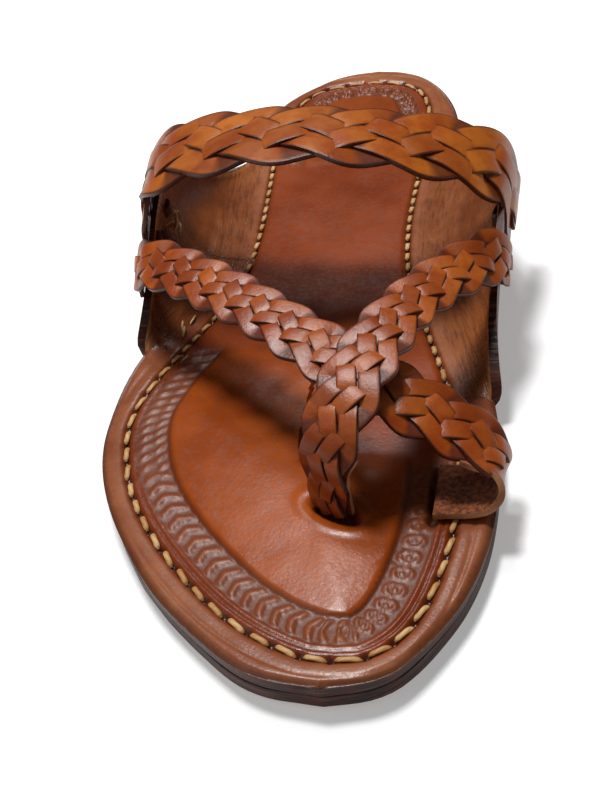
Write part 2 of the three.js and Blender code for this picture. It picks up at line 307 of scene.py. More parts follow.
def layeredEdge():
    # cut sole edge, stained nearly black and burnished with a hot iron: fine level lines where the layers
    # were rubbed down
    material, tree = newMaterial("burnishedSoleEdge")
    coords = addNode(tree, "TexCoord").outputs["Object"]
    blotch, cloud = clouds(tree, coords, 11, 5.0, 0.38, 0.62)
    level = addNode(tree, "VectorMath", {"operation": "MULTIPLY", 1: (90, 90, 1500)}, {0: coords})
    lines = addNode(tree, "TexNoise", {"Scale": 1.0, "Detail": 3.0}, {"Vector": level.outputs[0]}).outputs[0]
    base = addNode(tree, "Mix", {"data_type": "RGBA", 6: colour("#1f0a05"), 7: colour("#40170b")}, {0: cloud})
    base = stained(tree, base.outputs[2], ((lines, 0.5, 0.68, 0.55, "#6b3a28"),))
    layers = addNode(tree, "Bump", {"Strength": 0.7, "Distance": 0.3 * mm},
                     {"Height": lines}).outputs["Normal"]
    finishLeather(tree, coords, base, blotch, (0.34, 0.5), (1.1, 0.4, 0.3, 0.3), 0.25, layers)
    return material


def thongLeather(name, low, high, dark):
    # thin thongs, dyed tan, waxed and pressed flat: painted shade darkens each strand where it dips under its
    # neighbours, leaving the crowns bright, and each strand is darker along its two edges
    material, tree = newMaterial(name)
    place = addNode(tree, "TexCoord")
    coords = place.outputs["Object"]
    shadeAndTone = addNode(tree, "Attribute", {"attribute_name": "shadeAndTone"})
    shadeAndTones = addNode(tree, "SeparateColor", None, {0: shadeAndTone.outputs["Color"]})
    strip = addNode(tree, "SeparateXYZ", None, {0: place.outputs["UV"]})
    centred = addNode(tree, "Math", {"operation": "SUBTRACT", 1: 0.5}, {0: strip.outputs[0]})
    fromMiddle = addNode(tree, "Math", {"operation": "ABSOLUTE"}, {0: centred.outputs[0]})
    blotch, cloud = clouds(tree, coords, 12, 4.0, 0.38, 0.62)
    streak = addNode(tree, "TexNoise", {"Scale": 1000 / 2.2, "Detail": 3.0, "Roughness": 0.6},
                     {"Vector": coords}).outputs["Fac"]
    base = addNode(tree, "Mix", {"data_type": "RGBA", 6: colour(low), 7: colour(high)}, {0: cloud}).outputs[2]
    # each strand's own tone, streaks, darker strand edges, and painted shade where a strand dips under its
    # neighbours
    base = stained(tree, base, (
        (shadeAndTones.outputs[1], 0, 1, 0.6, dark), (streak, 0.5, 0.7, 0.3, dark),
        (fromMiddle.outputs[0], 0.41, 0.48, 0.85, "#2e0d05"), (shadeAndTones.outputs[0], 0.46, 0.2, 0.8, "#46180a"),
    ))
    finishLeather(tree, coords, base, blotch, (0.28, 0.42), (0.8, 0.35, 0.3, 0.5), 0.34)
    return material


def roughFlesh():
    # the unfinished flesh side of the same leather: matt, speckled and fibrous
    material, tree = newMaterial("roughFleshSide")
    coords = addNode(tree, "TexCoord").outputs["Object"]
    fibre = addNode(tree, "TexNoise", {"Scale": 1000 / 1.1, "Detail": 4.0, "Roughness": 0.7},
                    {"Vector": coords}).outputs["Fac"]
    speckle = addNode(tree, "MapRange", {"From Min": 0.4, "From Max": 0.6}, {"Value": fibre}).outputs[0]
    base = addNode(tree, "Mix", {"data_type": "RGBA", 6: colour("#5a2a12"), 7: colour("#9a552e")},
                   {0: speckle})
    bump = addNode(tree, "Bump", {"Strength": 1.0, "Distance": 0.5 * mm}, {"Height": fibre})
    shader = addNode(tree, "BsdfPrincipled",
                     {"Roughness": 0.85, "Specular IOR Level": 0.25, "Sheen Weight": 0.15},
                     {"Base Color": base.outputs[2], "Normal": bump.outputs["Normal"]})
    finishMaterial(tree, shader)
    return material


def twistedThread():
    # waxed cotton, two plies: pale straw, with painted shade at the ends where it goes into the holes and in
    # the dents between the plies
    material, tree = newMaterial("waxedCottonThread")
    coords = addNode(tree, "TexCoord").outputs["Object"]
    shadeAndTone = addNode(tree, "Attribute", {"attribute_name": "shadeAndTone"})
    shadeAndTones = addNode(tree, "SeparateColor", None, {0: shadeAndTone.outputs["Color"]})
    cloud = clouds(tree, coords, 9, 4.0, 0.4, 0.6)[1]
    base = addNode(tree, "Mix", {"data_type": "RGBA", 6: colour("#b07d42"), 7: colour("#d0a870")}, {0: cloud})
    base = stained(tree, base.outputs[2], (
        (shadeAndTones.outputs[0], 0, 1, 1, "#7a4519"), (shadeAndTones.outputs[1], 0, 1, 0.4, "#8f5a2a"),
    ))
    normal = grained(tree, coords, 0.5, 0.25, 0.5, 0.5)
    shader = addNode(tree, "BsdfPrincipled", {"Roughness": 0.55},
                     {"Base Color": base, "Normal": normal})
    finishMaterial(tree, shader)
    return material


hideSkin = tooledHide()
# the same hide's underside: oiled but never burnished, so dull
hideBack = plainLeather("oiledHideBack", "#431c0d", "#66301a", (0.45, 0.6), 0.9, 0.5)
edgeLeather = layeredEdge()
# the sole's hard, pressed faces, which stay dry and pale
soleFace = plainLeather("hardSoleLeather", "#583019", "#734527", (0.55, 0.7), 1.2, 0.4)
instepThong = thongLeather("waxedInstepThong", "#98440c", "#b56418", "#7a320a")
toeThong = thongLeather("waxedToeThong", "#923c0c", "#b05a16", "#6e2808")
# the grain side of the loop's strip, waxed like the thongs
smoothStrap = plainLeather("waxedStrapLeather", "#7d330e", "#9a4e1c", (0.3, 0.44), 0.8, 0.35, specular=0.35)
rawFlesh = roughFlesh()
# lacing leather, dark with wax and dirt
laceLeather = plainLeather("darkLaceLeather", "#351609", "#5c2c18", (0.45, 0.6), 0.7, 0.4, 8)
# cut edges of the strips, rubbed pale
cutEdge = plainLeather("rubbedCutEdge", "#8a5535", "#b98560", (0.5, 0.65), 0.7, 0.4, 6)
threadCotton = twistedThread()
print("finishes")


# the sandal's own sizes, in millimetres

sole = {
    "outsole": 3.4,
    "topsole": 3.3,
    "layerGap": 0.3,
    "heelPiece": 1.8,
    "heelSlope": 0.039,
    "slopeStart": -40,
    "toeSpring": 1.2,
    "toeSpringStart": -108,
    "heelBreast": 66,
    "toToe": 133.5,
    "toHeel": 131.5,
}
footbed = sole["outsole"] + sole["layerGap"] + sole["topsole"]

# rim of the sole: y, lateral x, medial x
rimRows = [
    (-133.5, 17.6, 18.8), (-131, 5.6, 28.6), (-125, -4.2, 35.4), (-110, -20, 43.9), (-95, -31, 48.2),
    (-80, -39.6, 49.7), (-65, -45.2, 49.6), (-50, -47.4, 48.3), (-30, -46.8, 44.2), (-5, -41.2, 35.6),
    (20, -34.6, 29.6), (45, -32, 29.8), (70, -33.6, 31.9), (95, -32.8, 30), (112, -29, 24.9),
    (124, -19, 17.3), (129.5, -9.6, 9.4), (131.5, 0.2, 1.2),
]
# where each wing leaves the footbed: y, lateral x, medial x
rootRows = [
    (-46, -38.6, 38.8), (-20, -35, 32.8), (-5, -30, 28.4), (10, -24.6, 24.2), (25, -23.6, 21.9),
    (45, -26, 22.4), (76, -28.6, 23.9),
]
# each wing: y, x of its tip, x of its fullest point, height above the footbed
medialWingRows = [
    (-45, 46.6, 46.6, 0), (-38, 45.8, 46, 5), (-28, 45.4, 46, 10), (-16, 46, 46.8, 15.5),
    (0, 46.8, 47.6, 19.5), (16, 47, 48, 20), (28, 45.2, 46, 16.5), (40, 41, 41.4, 10.5),
    (54, 36, 36, 4.8), (66, 33.2, 33.2, 1.4), (76, 32, 32, 0),
]
lateralWingRows = [
    (-22, 45.2, 45.2, 0), (-17, 43.6, 43.8, 6), (-9, 43, 43.8, 12.5), (2, 44.2, 45.2, 17.5),
    (14, 45.4, 46.4, 21), (26, 45.6, 46.6, 23), (38, 43.6, 44, 20), (52, 39.6, 39.8, 9),
    (64, 35.8, 35.8, 3.2), (76, 33.6, 33.6, 0),
]
# the line of stitching: y, lateral x, medial x
stitchRows = [
    (-126.6, 19.6, 20.4), (-125.4, 12.8, 26.6), (-119.5, 1.5, 33), (-110, -10, 37.2),
    (-95, -23.2, 40.3), (-80, -33, 41.2), (-65, -38.9, 40.6), (-50, -41.6, 38.6), (-35, -39, 34.8),
    (-20, -33.4, 30.2), (-5, -27.6, 26), (10, -24.2, 22), (25, -23.4, 20.4), (40, -23.8, 20),
    (60, -25.2, 20.6), (80, -26.6, 21.8), (100, -25.5, 20.6), (113, -21.8, 16.9), (119.5, -15, 11),
    (122.3, -4, 2),
]


def curveThrough(rows, column, steps=2400):
    # one column of a table as a smooth curve through its rows
    values = np.array([row[column] for row in rows], dtype=float)
    last = len(rows) - 1
    at = np.linspace(0, last, steps)
    i = np.minimum(at.astype(int), last - 1)
    t = at - i
    p1, p2 = values[i], values[i + 1]
    p0 = np.where(i > 0, values[np.maximum(i - 1, 0)], 2 * p1 - p2)
    p3 = np.where(i + 2 <= last, values[np.minimum(i + 2, last)], 2 * p2 - p1)
    square, cube = 2 * p0 - 5 * p1 + 4 * p2 - p3, 3 * p1 - p0 - 3 * p2 + p3
    return 0.5 * (2 * p1 + (p2 - p0) * t + square * t ** 2 + cube * t ** 3)


def columnOver(rows, column):
    ys, values = curveThrough(rows, 0), curveThrough(rows, column)
    return lambda y: np.interp(y, ys, values)


rimAt = {"lateral": columnOver(rimRows, 1), "medial": columnOver(rimRows, 2)}
rootAt = {"lateral": columnOver(rootRows, 1), "medial": columnOver(rootRows, 2)}
wingAt = {}
for side, rows in (("lateral", lateralWingRows), ("medial", medialWingRows)):
    wingAt[side] = {
        "from": rows[0][0], "to": rows[-1][0],
        "tip": columnOver(rows, 1), "belly": columnOver(rows, 2), "height": columnOver(rows, 3),
    }


def riseAt(y):
    # height of the outsole's underside over the floor
    y = np.asarray(y, dtype=float)
    t = np.clip((sole["toeSpringStart"] - y) / (sole["toeSpringStart"] + sole["toToe"]), 0, None)
    past = y - sole["slopeStart"]
    reach = 15
    bend = sole["heelSlope"] * (past + reach) ** 2 / (4 * reach)
    slope = np.where(past <= -reach, 0, np.where(past < reach, bend, sole["heelSlope"] * past))
    return slope + sole["toeSpring"] * t * t


def placeSkins(obj, *skins):
    for skin in skins:
        obj.data.materials.append(skin)


def closedLine(rows, steps=1200):
    # a table's outline as a closed line, starting at the waist of the lateral side and going round the heel
    half = steps // 2
    ys = curveThrough(rows, 0, half)
    lateral = np.stack([curveThrough(rows, 1, half), ys], 1)
    medial = np.stack([curveThrough(rows, 2, half), ys], 1)
    line = np.roll(np.concatenate([lateral, medial[::-1]]), -int(np.argmin(np.abs(ys - 18))), axis=0)
    gaps = np.linalg.norm(np.diff(np.vstack([line, line[:1]]), axis=0), axis=1)
    return line, np.concatenate([[0], np.cumsum(gaps)])


def nearestOn(line, runs, x, y):
    # how far the nearest point of a line is, and how far along the line it lies
    point = np.stack([x, y], 1)
    far, run = np.empty(len(point)), np.empty(len(point))
    for start in range(0, len(point), 4000):
        part = point[start:start + 4000]
        d = ((part[:, None, :] - line[None]) ** 2).sum(2)
        nearest = d.argmin(1)
        far[start:start + 4000] = np.sqrt(d[np.arange(len(part)), nearest])
        run[start:start + 4000] = runs[nearest]
    return far, run


stitchLine, stitchRun = closedLine(stitchRows)
stitchLength = stitchRun[-1]
rimLine, rimRun = closedLine(rimRows)


def insideStitching(x, y):
    # distance inwards from the stitching, and how far round the stitching the nearest point lies
    far, run = nearestOn(stitchLine, stitchRun, x, y)
    ys = curveThrough(stitchRows, 0)
    lateral = np.interp(y, ys, curveThrough(stitchRows, 1))
    medial = np.interp(y, ys, curveThrough(stitchRows, 2))
    inside = (x > lateral) & (x < medial) & (y > ys[0]) & (y < ys[-1])
    return np.where(inside, far, -far), run


# stitches: where each one starts and ends along the line

thread = {
    "length": 5.5, "waistLength": 3.5, "gap": 1.15, "waistGap": 1.3,
    "width": 1.35, "height": 0.8, "sink": 0.5, "hole": 0.7,
}
stitchSpans = []
at = 1.0
while at < stitchLength - 3.5:
    where = np.interp(at, stitchRun[:-1], stitchLine[:, 1])
    waistness = float(smoothStep(-38, -24, where) * smoothStep(84, 70, where))
    size = thread["length"] * (1 - waistness) + thread["waistLength"] * waistness
    size *= 1 + 0.07 * random.uniform(-1, 1)
    stitchSpans.append((at, at + size))
    at += size + thread["gap"] * (1 - waistness) + thread["waistGap"] * waistness
stitchHoles = np.array([(a[1] + b[0]) / 2 for a, b in zip(stitchSpans, stitchSpans[1:])])

# footbed and wings, cut as one hide

hide = {
    "across": 160,
    "along": 400,
    "keptShare": 0.3,
    "grooveDepth": 0.8,
    "grooveWidth": 1.0,
    "bandDepth": 0.32,
    "stampHeight": 0.45,
    "crown": 1.7,
    "crownReach": 19,
    "wingTip": 2.0,
    "edgeRound": 1.0,
    "underInset": 0.35,
}


def alongAt(v):
    # a little closer together at the toe and the heel
    length = sole["toToe"] + sole["toHeel"]
    return -sole["toToe"] + length * (0.74 * v + 0.26 * (1 - np.cos(np.pi * v)) / 2)


def wingSection(side, y, count=36):
    # points of one wing's face from its root to its tip
    wing = wingAt[side]
    sign = 1 if side == "medial" else -1
    base = float(riseAt(y)) + footbed
    height = max(float(wing["height"](y)), 0)
    root = float(rootAt[side](y))
    tip, belly = sign * float(wing["tip"](y)), sign * float(wing["belly"](y))
    u = np.linspace(0, 1, count)
    xs = [root, root + 0.6 * (belly - root), belly, tip]
    zs = [base, base, base + 0.32 * height, base + height]
    w = [(1 - u) ** 3, 3 * u * (1 - u) ** 2, 3 * u * u * (1 - u), u ** 3]
    return np.stack([sum(a * b for a, b in zip(xs, w)), sum(a * b for a, b in zip(zs, w))], 1)


hideRuns = {}


def placeHide(u, v):
    points, facing = np.empty((len(u), 3)), np.zeros((len(u), 3))
    wingRun, wingLeft = np.zeros(len(u)), np.full(len(u), 99.0)
    whichRow = np.round(v * hide["along"]).astype(int)
    for row in range(whichRow.max() + 1):
        members = np.where(whichRow == row)[0]
        y = float(alongAt(v[members[0]]))
        base = float(riseAt(y)) + footbed
        parts, lengths = [], {}
        for side in ("lateral", "medial"):
            if wingAt[side]["from"] < y < wingAt[side]["to"]:
                section = wingSection(side, y)
                lengths[side] = np.linalg.norm(np.diff(section, axis=0), axis=1).sum()
            else:
                section = np.array([[float(rimAt[side](y)), base]])
            parts.append(section[::-1] if side == "lateral" else section)
        section = np.concatenate(parts)
        run = np.concatenate([[0], np.cumsum(np.linalg.norm(np.diff(section, axis=0), axis=1))])
        at = u[members] * run[-1]
        xs, zs = np.interp(at, run, section[:, 0]), np.interp(at, run, section[:, 1])
        points[members] = np.stack([xs, at * 0 + y, zs], 1)
        near = min(0.4, run[-1] / 8)
        before, after = np.clip(at - near, 0, run[-1]), np.clip(at + near, 0, run[-1])
        dx = np.interp(after, run, section[:, 0]) - np.interp(before, run, section[:, 0])
        dz = np.interp(after, run, section[:, 1]) - np.interp(before, run, section[:, 1])
        facing[members] = np.stack([-dz, dz * 0, dx], 1) / np.hypot(dx, dz)[:, None]
        for side, fromEnd, sign in (("lateral", at, -1), ("medial", run[-1] - at, 1)):
            if side in lengths:
                on = fromEnd < lengths[side]
                wingRun[members] = np.where(on, sign * (lengths[side] - fromEnd), wingRun[members])
                wingLeft[members] = np.where(on, fromEnd, wingLeft[members])
    hideRuns.update({"out": wingRun, "left": wingLeft, "facing": facing})
    return points


def stampRow(run, across, pitch, kind):
    # one row of tool marks: run along the border, across from -1 to 1 over the row's width
    phase = run / pitch
    cell = (phase - np.floor(phase) - 0.5) * 2
    if kind == "leaf":
        # slanting leaves, fat in the middle
        slant = cell - 0.75 * across
        slant = (slant + 1) % 2 - 1
        leaf = smoothStep(0.72, 0.1, np.abs(slant) + 0.35 * np.abs(across))
        return leaf * smoothStep(1.05, 0.7, np.abs(across))
    if kind == "bird":
        # a pair of small wings with a dot between them
        slant = (cell + 0.9 * np.abs(across) + 0.6) % 2 - 1
        wings = smoothStep(0.62, 0.12, np.abs(slant)) * smoothStep(1.05, 0.75, np.abs(across))
        return np.maximum(wings, 0.8 * hump(np.hypot((cell - 0.35), across * 1.3), 0, 0.28))
    radius = np.hypot(cell, across)
    turn = np.arctan2(across, cell)
    petals = smoothStep(0.3, 0.0, np.abs(radius - 0.66)) * (0.8 + 0.3 * np.cos(7 * turn))
    return np.maximum(petals, smoothStep(0.32, 0.08, radius))


footbedMesh = addGrid("footbed", hide["across"], hide["along"], placeHide)
placeSkins(footbedMesh, hideSkin, hideBack, edgeLeather)
points = pointsOf(footbedMesh) / mm
onWing, wingSide = np.abs(hideRuns["out"]), np.sign(hideRuns["out"])
x, y = points[:, 0], points[:, 1]
inward, run = insideStitching(x, y)
inward = np.where(onWing > 0, -1.2 - onWing, inward)
toEdge = np.where(onWing > 0, hideRuns["left"], nearestOn(rimLine, rimRun, x, y)[0])
lateralSide = x < np.interp(y, [-133.5, -60, 131.5], [18, 3, 0])

# the stamped border of the forefoot: two rows of leaves, joining into birds at the toe, then roses
inForefoot = smoothStep(-21, -27, y) * np.where(lateralSide, 1, smoothStep(-64, -72, y))
gap = np.where(lateralSide, 3.0 + 0.9 * smoothStep(-60, -100, y), 4.0)
bandWidth = 7.2
across = (inward - gap) / bandWidth * 2 - 1
inBand = smoothStep(-1.15, -1.0, across) * smoothStep(1.15, 1.0, across) * inForefoot
outerLeaves = stampRow(run, (across + 0.52) * 2.1, 3.9, "leaf")
leaves = np.maximum(outerLeaves, stampRow(run + 1.6, (across - 0.5) * 2.0, 3.9, "leaf"))
birds = stampRow(run, across * 1.05, 4.7, "bird")
roses = stampRow(run, across * 1.15, 5.2, "rose")
toBirds = np.where(lateralSide, smoothStep(-64, -76, y), 1)
toRoses = np.where(lateralSide, 0, smoothStep(19, 25, x)) * smoothStep(-64, -66, y)
frontStamps = leaves * (1 - toBirds) + birds * toBirds * (1 - toRoses) + roses * toRoses
field = smoothStep(1.0, 1.45, across) * inForefoot

# the heel's horseshoe of round stamps, slanting bars along its medial arm
inHeel = smoothStep(67, 72, y)
heelAcross = (inward - 3.2) / 6.2 * 2 - 1
inHeelBand = smoothStep(-1.15, -1.0, heelAcross) * smoothStep(1.15, 1.0, heelAcross) * inHeel
toBars = np.where(x > 0, smoothStep(88, 82, y), 0)
heelStamps = stampRow(run, heelAcross, 5.4, "rose") * (1 - toBars)
heelStamps += stampRow(run, heelAcross, 3.6, "leaf") * toBars
heelField = inHeel * smoothStep(1.0, 1.4, heelAcross)

groove = hump(inward, 0, hide["grooveWidth"])
linesIn = hump(inward, 2.3, 0.45)
ringRadius = np.hypot(x + 1.5, y - 92)
after = np.searchsorted(stitchHoles, run)
either = stitchHoles[np.clip(np.stack([after - 1, after], 1), 0, len(stitchHoles) - 1)]
holes = hump(np.abs(run[:, None] - either).min(1), 0, 0.75) * hump(inward, 0, 0.85)
relief = -hide["grooveDepth"] * groove - thread["hole"] * holes
relief -= 0.22 * hump(inward, -4.4, 0.5) * smoothStep(9, 6, onWing)
relief -= 0.38 * linesIn * inForefoot + 0.35 * hump(inward, 2.4, 0.5) * inHeel
# the field swells from its edge to its middle
inField = np.clip((inward - gap - bandWidth) / hide["crownReach"], 0, 1)
relief += hide["crown"] * field * (0.25 + 0.75 * np.sin(inField * np.pi / 2))
relief += inBand * (-hide["bandDepth"] + hide["stampHeight"] * frontStamps)
relief += inHeelBand * (-0.45 + 0.75 * heelStamps) + 0.35 * heelField
relief += 0.35 * hump(ringRadius, 0, 1.5) - 0.2 * hump(ringRadius, 2.6, 0.9)
relief -= 0.5 * hump(ringRadius, 4.4, 1.1)
# hand-beaten leather is never quite flat
relief += 0.22 * softNoise(x + 80, y + 200, 17, 21, 3) + 0.06 * softNoise(x + 80, y + 200, 4.5, 5.5, 4)

# slots that take the toe post and the medial end of the strap
postTurn = math.radians(-31)
px, py = x - 14.9, y + 85.2
along = px * math.cos(postTurn) + py * math.sin(postTurn)
over = -px * math.sin(postTurn) + py * math.cos(postTurn)
postSlot = smoothStep(1.25, 0.75, np.hypot(along / 6.2, over / 2.6))
sideSlot = smoothStep(1.2, 0.8, np.abs((y + 79) / 8.6)) * smoothStep(1.5, 0.6, np.abs(x - 36.0))
relief -= 2.4 * postSlot + 1.8 * sideSlot
relief += 0.4 * hump(np.hypot(along / 7.5, over / 4.2), 1.25, 0.25)

# creases, listed one by one: side, distance out from the root and y at both ends, depth, width
creases = [
    ("lateral", 3, -14, 3, 58, 0.175, 0.9), ("lateral", 6, -12, 6.5, 52, 0.2, 0.9),
    ("lateral", 9.5, -10, 10, 46, 0.2, 1.0), ("lateral", 13.5, -6, 13, 40, 0.125, 1.2),
    ("lateral", 19, 2, 18, 32, 0.125, 1.5), ("lateral", 18, -14, 4, -17, 0.4, 0.7),
    ("lateral", 24, -8, 9, -13, 0.25, 1.2), ("medial", 3, -28, 3, 60, 0.175, 0.8),
    ("medial", 6.2, -24, 6, 54, 0.175, 0.8), ("medial", 9.5, -22, 9.5, 48, 0.2, 0.9),
    ("medial", 13.5, -18, 13.5, 44, 0.15, 1.0), ("medial", 18, -10, 18, 34, 0.15, 1.2),
    ("medial", 26, -26, 12, -34, 0.25, 1.2), ("medial", 24, -20, 8, -28, 0.225, 1.0),
    ("medial", 22, -14, 12, -22, 0.175, 1.0),
]
wingRelief = np.zeros(len(x))
for side, out0, y0, out1, y1, depth, width in creases:
    mine = wingSide < 0 if side == "lateral" else wingSide > 0
    way = np.array([out1 - out0, y1 - y0], dtype=float)
    length = np.linalg.norm(way)
    rel = np.stack([onWing - out0, y - y0], 1)
    t = (rel @ way) / length ** 2
    off = (rel[:, 0] * way[1] - rel[:, 1] * way[0]) / length
    off = off + 1.1 * softNoise(t * length, np.full(len(x), out0 * 7.3), 11, 1, 11)
    fade = smoothStep(-0.08, 0.12, t) * smoothStep(1.08, 0.88, t)
    fold = 0.4 * hump(np.abs(off), width * 1.9, width) - hump(off, 0, width)
    wingRelief += np.where(mine, fade * depth * fold, 0)
wingRelief += np.where(onWing > 0, 0.1 * softNoise(onWing, y + 200, 5, 19, 5), 0)

nearEdge = smoothStep(0, 2.5, toEdge)
total = relief * np.where(onWing > 0, smoothStep(3, 0, onWing), 1) + wingRelief * smoothStep(0, 1.5, onWing)
rounding = hide["edgeRound"] * np.where(onWing > 0, 0.5, 1)
total = total * (0.3 + 0.7 * nearEdge) - rounding * smoothStep(2.4, 0, toEdge) ** 2
movePoints(footbedMesh, (points + hideRuns["facing"] * total[:, None]) * mm)

rimness = np.where(onWing > 0, 1, smoothStep(-0.6, -1.6, inward))
toolMarksAndShade = groove * 0.95 + inBand * (0.5 - 0.6 * frontStamps) + inHeelBand * (0.5 - 0.6 * heelStamps)
# the line just inside the field's border is painted shade at the step down to the stamped band; the rest is
# the tool marks' own darkening
toolMarksAndShade += (0.45 * linesIn + 0.5 * hump(across, 1.12, 0.12)) * inForefoot + 0.6 * hump(ringRadius, 4.4, 1.2)
wingness = smoothStep(0, 5, onWing)
# painted shade in the toe-post and strap slots, the stitch holes and the wing's crease valleys; the dark band
# along the footbed's outer edge is the burnished edge's own colour
pitShadeAndDarkEdge = postSlot + sideSlot + holes + np.where(onWing > 0, 0, 0.85 * smoothStep(1.7, 0.3, toEdge))
pitShadeAndDarkEdge += 0.45 * np.clip(-wingRelief * 1.8, 0, 1) * smoothStep(0, 2, onWing)
# the beads of wrinkled grain are strongest beside the stitching and die away up the wing
wrinkled = smoothStep(0, 2, onWing) * (0.3 + 0.7 * smoothStep(16, 7, onWing))
wrinkled = np.where(onWing > 0, wrinkled, 0.08 * smoothStep(-2, -5, inward))
wrinkled = np.where(wingSide > 0, np.maximum(wrinkled, 0.55 * smoothStep(0, 2, onWing)), wrinkled)
paleEdge = smoothStep(1.4, 0.3, toEdge) * wingness
paint(footbedMesh, "zones", shares(rimness, np.clip(toolMarksAndShade, 0, 1), wingness))
paint(footbedMesh, "fields", shares(field, heelField, np.clip(inBand + inHeelBand, 0, 1)))
paint(footbedMesh, "marks", shares(wrinkled, np.clip(pitShadeAndDarkEdge, 0, 1), paleEdge))
skin = footbedMesh.data.attributes.new("skin", "FLOAT_VECTOR", "POINT")
skin.data.foreach_set("vector", np.stack([run, -inward, x * 0], 1).astype(np.float32).ravel())

topCount = len(points)
applyModifier(footbedMesh, "SOLIDIFY", {
    "thickness": sole["topsole"] * mm, "offset": -1, "use_rim": True,
    "material_offset": 1, "material_offset_rim": 2,
})
# the underside lies level on the outsole, and thins out up the wings
shell = pointsOf(footbedMesh)
thickness = sole["topsole"] - (sole["topsole"] - hide["wingTip"]) * smoothStep(0, 30, onWing)
under = points - hideRuns["facing"] * thickness[:, None]
inset = hide["underInset"] * smoothStep(1.5, 0, toEdge) * np.where(onWing > 0, 0, 1)
under[:, 0] -= inset * np.sign(x - (rimAt["lateral"](y) + rimAt["medial"](y)) / 2)
shell[topCount:] = under * mm
movePoints(footbedMesh, shell)
# the hide keeps only a share of its faces
activate(footbedMesh)
index = np.empty(len(footbedMesh.data.polygons), dtype=np.int32)
footbedMesh.data.polygons.foreach_get("material_index", index)
bpy.ops.object.mode_set(mode="EDIT")
bpy.ops.mesh.select_mode(type="FACE")
bpy.ops.object.mode_set(mode="OBJECT")
footbedMesh.data.polygons.foreach_set("select", index == 1)
bpy.ops.object.mode_set(mode="EDIT")
bpy.ops.mesh.decimate(ratio=hide["keptShare"])
bpy.ops.object.mode_set(mode="OBJECT")
smoothShade(footbedMesh, 55)
print("footbed", len(footbedMesh.data.polygons), "faces")


# lower layers of the sole


slab = {"points": 260, "wave": 0.22, "cutEvery": 6, "bevel": 0.7}


def soleSlab(name, inset, breast, bottomAt, topAt):
    # the rim's outline, let in a little and pulled up to a slab; a breast cuts it off in front of the heel
    deselectAll()
    bpy.ops.mesh.primitive_circle_add(vertices=slab["points"], radius=30 * mm, fill_type="NGON")
    layer = bpy.context.object
    layer.name = name
    placeSkins(layer, soleFace, edgeLeather)
    at = np.arange(slab["points"]) / slab["points"] * rimRun[-1]
    outline = np.stack([np.interp(at, rimRun[:-1], rimLine[:, k]) for k in (0, 1)], 1)
    ahead = np.roll(outline, -1, axis=0) - np.roll(outline, 1, axis=0)
    ahead /= np.linalg.norm(ahead, axis=1)[:, None]
    outwards = np.stack([ahead[:, 1], -ahead[:, 0]], 1)
    if (outwards * (outline - outline.mean(0))).sum() < 0:
        outwards = -outwards
    wavy = slab["wave"] * softNoise(at, at * 0 + inset * 31.0, 9, 1, 21)
    outline = outline + outwards * (wavy - inset)[:, None]
    movePoints(layer, np.concatenate([outline, outline[:, :1] * 0], 1) * mm)
    bpy.ops.object.mode_set(mode="EDIT")
    bpy.ops.mesh.select_all(action="SELECT")
    bpy.ops.mesh.extrude_region_move(TRANSFORM_OT_translate={"value": (0, 0, 3 * mm)})
    if breast:
        bpy.ops.mesh.select_all(action="SELECT")
        bpy.ops.mesh.bisect(plane_co=(0, breast * mm, 0), plane_no=(0, 1, 0), clear_inner=True, use_fill=True)
    for cut in np.arange(-129, 130, slab["cutEvery"]):
        bpy.ops.mesh.select_all(action="SELECT")
        bpy.ops.mesh.bisect(plane_co=(0, cut * mm, 0), plane_no=(0, 1, 0))
    faceOutwards(layer)
    points = pointsOf(layer)
    upper = points[:, 2] > 1.5 * mm
    points[:, 2] = np.where(upper, topAt(points[:, 1] / mm), bottomAt(points[:, 1] / mm)) * mm
    movePoints(layer, points)
    facing = np.array([abs(f.normal.z) for f in layer.data.polygons])
    layer.data.polygons.foreach_set("material_index", (facing < 0.5).astype(np.int32))
    bevelEdges(layer, slab["bevel"], segments=3, degrees=60)
    smoothShade(layer, 50)
    return layer


outsole = soleSlab("outsole_layer", 0.3, None, riseAt, lambda y: riseAt(y) + sole["outsole"])
heelLift = soleSlab("heel_lift_layer", 0.8, sole["heelBreast"],
                    lambda y: y * 0 + sole["heelPiece"] + 0.2, lambda y: riseAt(y) - 0.15)
heelPiece = soleSlab("heel_top_piece_layer", 1.1, sole["heelBreast"],
                     lambda y: y * 0, lambda y: y * 0 + sole["heelPiece"])
print("sole layers")

# thread

deselectAll()
bpy.ops.mesh.primitive_uv_sphere_add(segments=10, ring_count=12, radius=0.5 * mm, rotation=(0, math.pi / 2, 0))
firstStitch = bpy.context.object
placeSkins(firstStitch, threadCotton)
bpy.ops.object.transform_apply(location=False, rotation=True, scale=False)
q = pointsOf(firstStitch) / mm
t = q[:, 0] * 2
